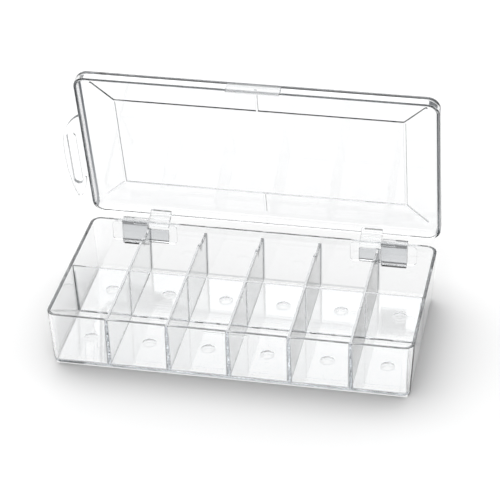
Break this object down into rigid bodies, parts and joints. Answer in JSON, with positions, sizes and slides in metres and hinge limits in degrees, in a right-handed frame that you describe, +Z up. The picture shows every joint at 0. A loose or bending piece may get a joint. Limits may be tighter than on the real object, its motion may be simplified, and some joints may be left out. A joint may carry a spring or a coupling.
{
  "type": "bobbin box",
  "caption": "Clear compartmented storage box with a hinged lid, for sewing bobbins and small notions.",
  "frame": {"origin": "centre of the tray's flat underside", "axes": "+X along the box's length, away from the hang tab; +Y towards the hinge; +Z up"},
  "size_m": [0.1899, 0.1023, 0.1208],
  "materials": {
    "clear_tray": "clear moulded polystyrene, polished",
    "clear_lid": "clear moulded polystyrene, polished"
  },
  "bodies": {
    "tray": {"tray_shell": "clear_tray", "long_divider": "clear_tray", "front_divider_1": "clear_tray", "front_divider_2": "clear_tray", "front_divider_3": "clear_tray", "front_divider_4": "clear_tray", "front_divider_5": "clear_tray", "rear_divider_1": "clear_tray", "rear_divider_2": "clear_tray", "rear_divider_3": "clear_tray", "rear_divider_4": "clear_tray", "rear_divider_5": "clear_tray", "hinge_socket_left": "clear_tray", "hinge_socket_right": "clear_tray", "catch_ridge": "clear_tray"},
    "lid": {"lid_cover": "clear_lid", "rib_frame": "clear_lid", "catch_lip": "clear_lid", "hang_tab": "clear_lid", "hinge_lug_left": "clear_lid", "hinge_lug_right": "clear_lid"}
  },
  "joints": [
    {"name": "lid_hinge", "type": "hinge", "parent": "tray", "child": "lid", "pos_m": [0, 0.0481, 0.0272], "axis": [1, 0, 0], "range_deg": [-104, 76]}
  ]
}
